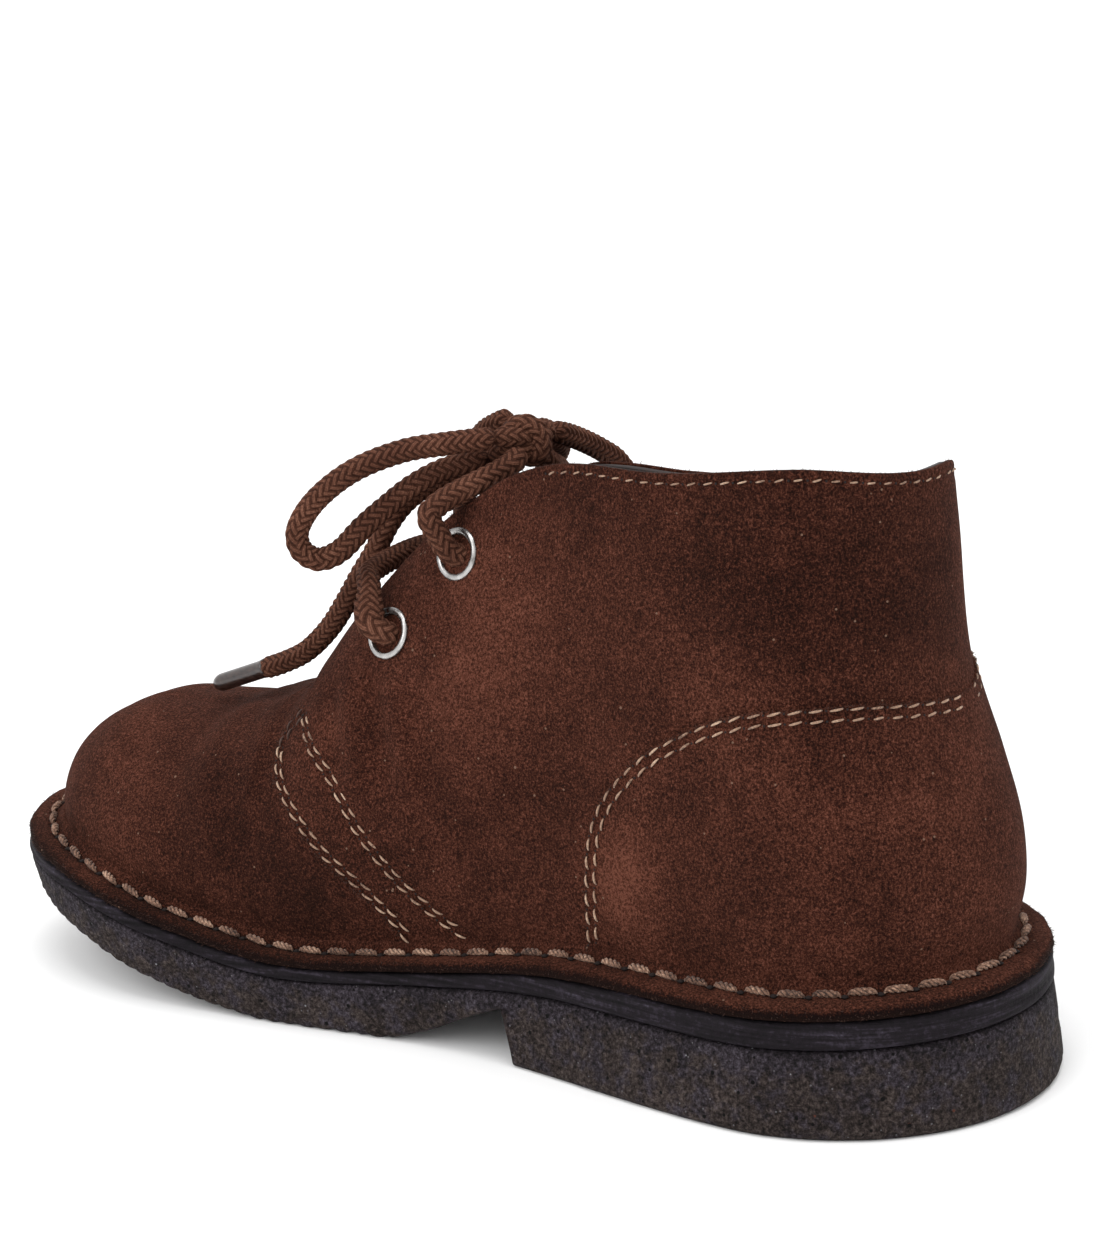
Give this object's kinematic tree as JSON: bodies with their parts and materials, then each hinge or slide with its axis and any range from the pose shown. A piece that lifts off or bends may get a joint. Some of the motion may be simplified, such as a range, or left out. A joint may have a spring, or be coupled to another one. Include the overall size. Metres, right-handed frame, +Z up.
{
  "type": "desert boot",
  "caption": "Ankle-high desert boot for the right foot: open-collared suede upper with tongue, laced eyelets, turned-out flange, runner and crepe sole with heel.",
  "frame": {"origin": "on the floor, under the middle of the boot without its free lace", "axes": "+X towards the toe, +Y to the shoe's left, which is its inner side, +Z up"},
  "size_m": [0.1914, 0.0748, 0.1001],
  "materials": {
    "suede": "brushed nap",
    "runner": "smooth, half gloss",
    "crepe": "crumbled crepe, matt",
    "insole": "smooth, matt",
    "eyelet": "bright rolled metal",
    "lace": "round braid",
    "aglet": "clear-coated tip"
  },
  "bodies": {
    "root": {"aglet_inner": "aglet", "aglet_outer": "aglet", "eyelet_lower_inner": "eyelet", "eyelet_lower_outer": "eyelet", "eyelet_upper_inner": "eyelet", "eyelet_upper_outer": "eyelet", "insole": "insole", "lace_bar": "lace", "lace_end_inner": "lace", "lace_end_outer": "lace", "lace_knot": "lace", "lace_loop_inner": "lace", "lace_loop_outer": "lace", "lace_strand_inner": "lace", "lace_strand_outer": "lace", "midsole": "runner", "outsole": "crepe", "tongue": "suede", "upper": "suede"}
  },
  "joints": []
}
